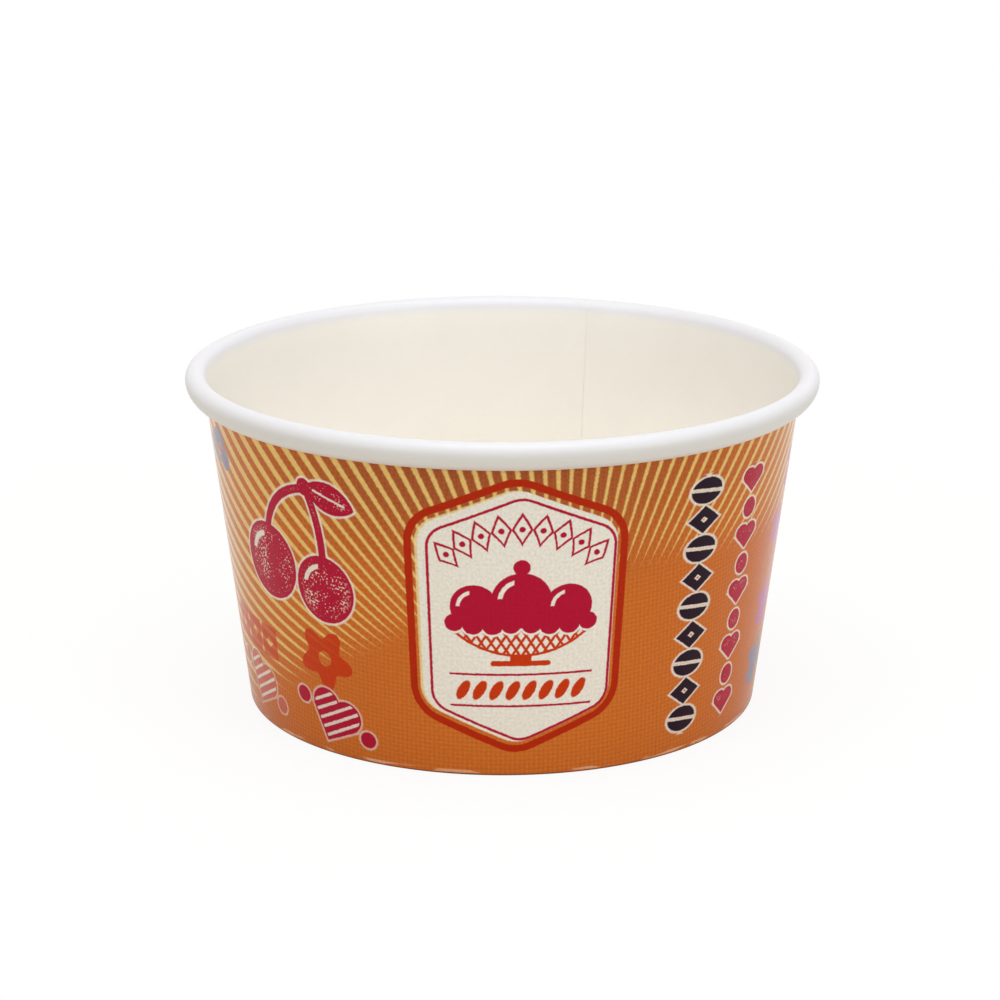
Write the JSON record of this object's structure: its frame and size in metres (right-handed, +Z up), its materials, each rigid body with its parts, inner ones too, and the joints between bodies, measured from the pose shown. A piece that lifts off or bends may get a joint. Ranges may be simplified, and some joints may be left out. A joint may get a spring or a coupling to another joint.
{
  "type": "paper dessert cup",
  "caption": "Low tapered round paper cup for ice cream or dessert, with a rolled rim, a lapped side seam and a recessed floor disc, printed orange outside and pale inside.",
  "frame": {"origin": "centre of the foot, on the surface that the cup stands on", "axes": "+Z is up along the cup's axis, -Y points out of the printed front, +X is to the right as the front is seen"},
  "size_m": [0.092, 0.092, 0.0497],
  "materials": {
    "printed_board": "satin, plastic-coated paperboard printed orange outside, cream-white inside and on the rim",
    "floor_board": "satin, plastic-coated cream-white paperboard"
  },
  "bodies": {
    "root": {"side_wall": "printed_board", "bottom_disc": "floor_board"}
  },
  "joints": []
}
